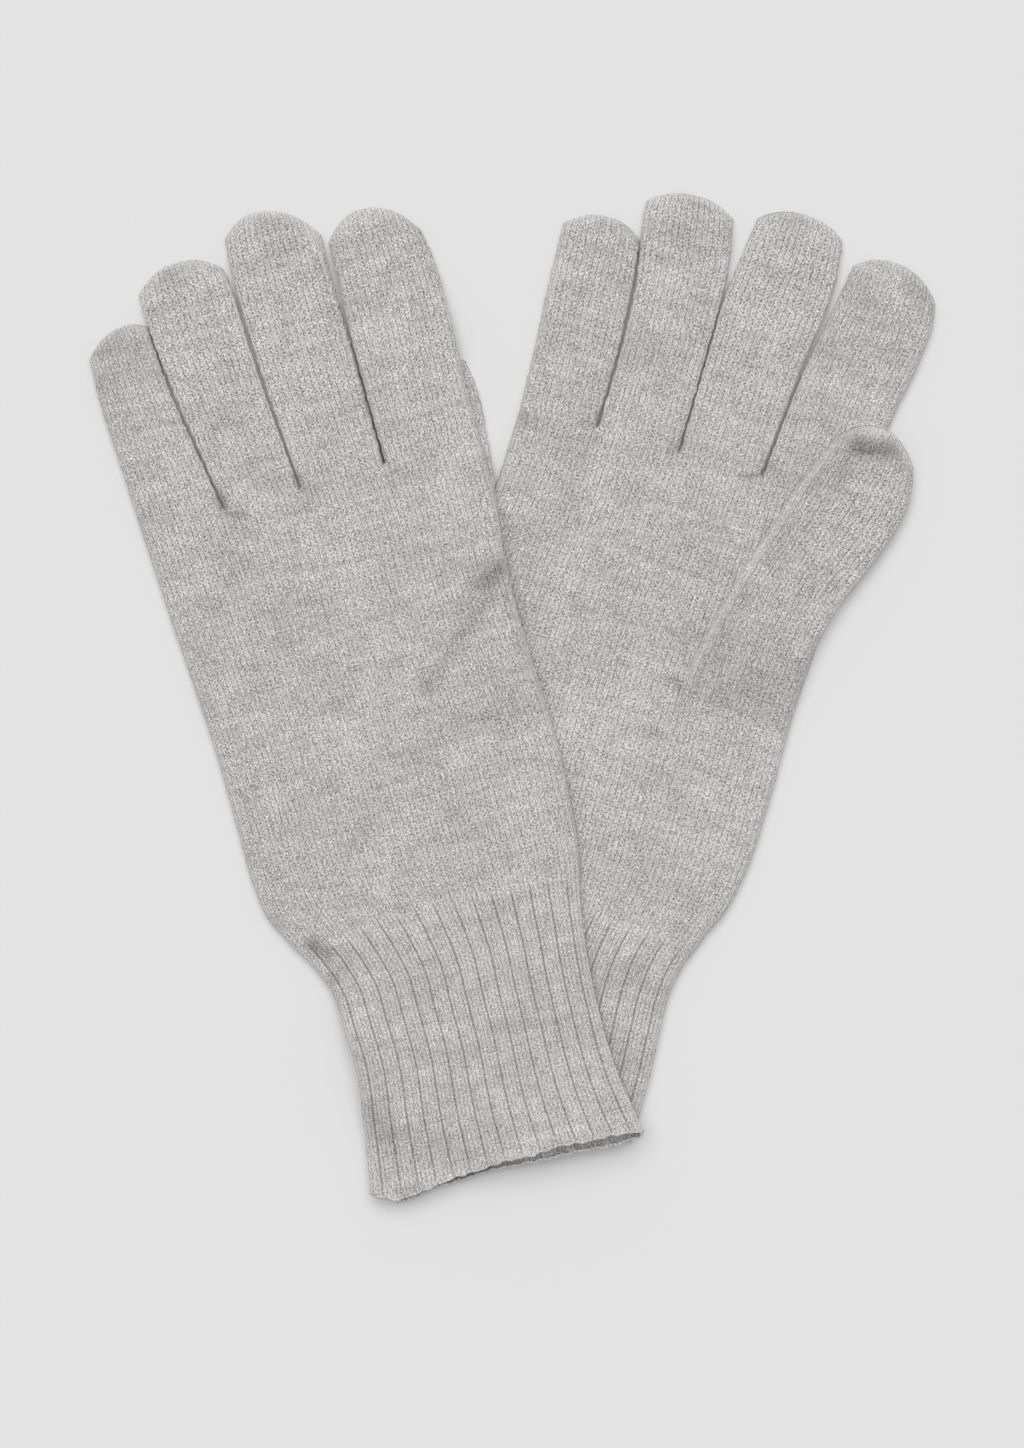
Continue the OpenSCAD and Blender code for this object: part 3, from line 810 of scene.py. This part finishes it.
left_thumb = {"root": 58, "corner_left": (23.6, 143.6), "corner_right": (45.6, 143.6), "bulge": 4.6,
              "sides": ([(58, 20), (93, 20), (120, 21.3), (132, 22), (146, 23.4)],
                        [(58, 41), (80, 41.5), (93, 42.3), (103, 44.2), (112, 45.6), (122, 46.5),
                         (137, 47.2), (146, 45.8)]),
              "edge": (True, True)}


def over_glove(x, y):
    """Height of the left glove's underside where the right glove lies beneath it."""
    rx, ry = to_glove(right, *to_table(left, x, y))
    edge = np.where(ry > WRIST, side_line(right_hand_sides[0], np.clip(ry, 0, 130)),
                    side_line(right_cuff_sides[0], np.clip(ry, -RIGHT_CUFF_LENGTH, 4)))
    return ((HAND_THICK + CLEAR) * ease(-DRAPE, -SHELF, rx - edge) * (1 - ease(99, 122, y))
            * ease(right_cuff_end - DRAPE, right_cuff_end - SHELF, ry))


def over_thumb(x, y):
    """The same where the left thumb lies under the palm as well."""
    edge = side_line(left_thumb["sides"][0], np.clip(y, left_thumb["root"], THUMB_REACH))
    return over_glove(x, y) + (THUMB_THICK + CLEAR) * ease(-18, -SHELF, x - edge) * ease(42, 56, y)


left_hand = hand_tube("left_hand_knit", left, left_hand_sides, 122, over_thumb, 5, left_creases)
dress(left_hand, plain_knit, ["left_hand"])
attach(left_hand, "left_glove")

# --- Left fingers -------------------------------------------------------------------------------
# Made like the right ones. The index finger lies over the tip of the thumb and slopes down to the table, and
# the middle finger comes down beside it.
left_fingers = {
    "pinky": {"root": 122, "corner_left": (-52.5, 171.2), "corner_right": (-35, 175.6), "bulge": 3.6,
              "sides": ([(122, -51.3), (140, -52.1), (157, -53), (176, -52.5)],
                        [(122, -28.1), (140, -31.1), (157, -33.7), (176, -35.2)]), "edge": (True, False)},
    "ring": {"root": 122, "corner_left": (-35.2, 184.5), "corner_right": (-11, 185.4), "bulge": 5.4,
             "sides": ([(122, -27.8), (140, -30.6), (157, -33.1), (171, -34.7), (186, -35.3)],
                       [(122, -6.5), (138, -7.9), (153, -9), (168, -9.7), (178, -10), (186, -11)]),
             "edge": (False, False)},
    "middle": {"root": 122, "corner_left": (-8.4, 193.4), "corner_right": (17.4, 187.6), "bulge": 7.0,
               "sides": ([(122, -6.2), (138, -7.4), (153, -8.4), (168, -9), (182, -9.2), (194, -8.4)],
                         [(122, 17.4), (146, 17.5), (182, 17.1), (190, 17.4)]), "edge": (False, False)},
    "index": {"root": 122, "corner_left": (18.7, 184.8), "corner_right": (43.6, 181.8), "bulge": 7.8,
              "sides": ([(122, 17.8), (163, 18), (186, 18.7)],
                        [(122, 44.5), (142, 44.8), (158, 45.4), (175, 44.9), (184, 43.4)]),
              "edge": (False, True)},
}
left_tip_creases = [(2, 195, 9, 193.5, 2.2, 0.35), (-26, 187.5, -18, 188, 2.0, 0.35),
                    (-49, 172, -44, 174, 2.0, 0.3)]
come_down = {"pinky": on_table, "ring": on_table,
             "middle": lambda x, y: over_thumb(x, y) * (1 - ease(122, 140, y)),
             "index": lambda x, y: over_thumb(x, y) * (1 - ease(150.5, 176, y))}

for finger, shape in left_fingers.items():
    tube = finger_tube(f"left_{finger}_knit", left, shape, come_down[finger], 5,
                       left_creases + left_tip_creases)
    dress(tube, plain_knit, [f"left_{finger}_base", f"left_{finger}_end"])
    knuckle_fold(tube)

# --- Left thumb ---------------------------------------------------------------------------------
# Tucked flat between the left palm and the table, with its edge just showing beside the index finger.
left_thumb_tube = finger_tube("left_thumb_knit", left, left_thumb, over_glove, 5, [], THUMB_THICK,
                              lambda y: 2 + (THUMB_THICK - 2) * ease(left_thumb["root"], 76, y), (1.6, 1.6))
dress(left_thumb_tube, thumb_knit, ["left_thumb_base", "left_thumb_end"])
knuckle_fold(left_thumb_tube)

# --- Left cuff ----------------------------------------------------------------------------------
# The same rib, longer in sight. It lies on the right cuff, it is gathered at the wrist's outer side, and its
# mouth stands a little open.
LEFT_CUFF_LENGTH = 74
MOUTH_LIFT = 2.6
left_cuff_end = WRIST - LEFT_CUFF_LENGTH
left_cuff_sides = ([(-73, -39), (-54, -35.8), (-34, -33), (-24, -33.4), (-14, -34), (-5, -37.5), (4, -42.6)],
                   [(-73, 38.8), (-54, 35.6), (-34, 35.2), (-14, 36.9), (-5, 38.4), (4, 40.5)])


def off_table(x, y):
    """The springy rib stands a little off the table towards its mouth."""
    return over_glove(x, y) + MOUTH_LIFT * (1 - ease(-LEFT_CUFF_LENGTH, -40, y))


left_cuff = cuff_tube("left_cuff_rib", left, left_cuff_sides, off_table, 5, left_cuff_end + WELT,
                      [(-36, 0.5, -32.5, -3, 2.2, 0.9), (-30, -60, -31, -48, 3.5, 0.25),
                       (-33, -10, -27, -4, 1.5, 0.35)])
dress(left_cuff, rib_knit, ["left_cuff"])
wrist_bend(left_cuff)
left_welt = welt_tube("left_cuff_welt_knit", left, left_cuff_sides, off_table, 5, left_cuff_end + WELT,
                      left_cuff_end,
                      [(-39, -68.4), (-35, -70.6), (-31, -72.5), (-25, -71.9), (-19, -70.9), (-10, -70.2),
                       (-2, -69.3), (7, -69.4), (15, -68.9), (24, -69.6), (31, -70), (38, -70.8)],
                      [(-38, 0.2), (-22, 0.25), (0, 0.65), (14, 0.95), (30, 1.0), (38, 0.6)])
dress(left_welt, rib_knit, ["left_cuff_welt"])
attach(left_welt, "left_cuff_flap")
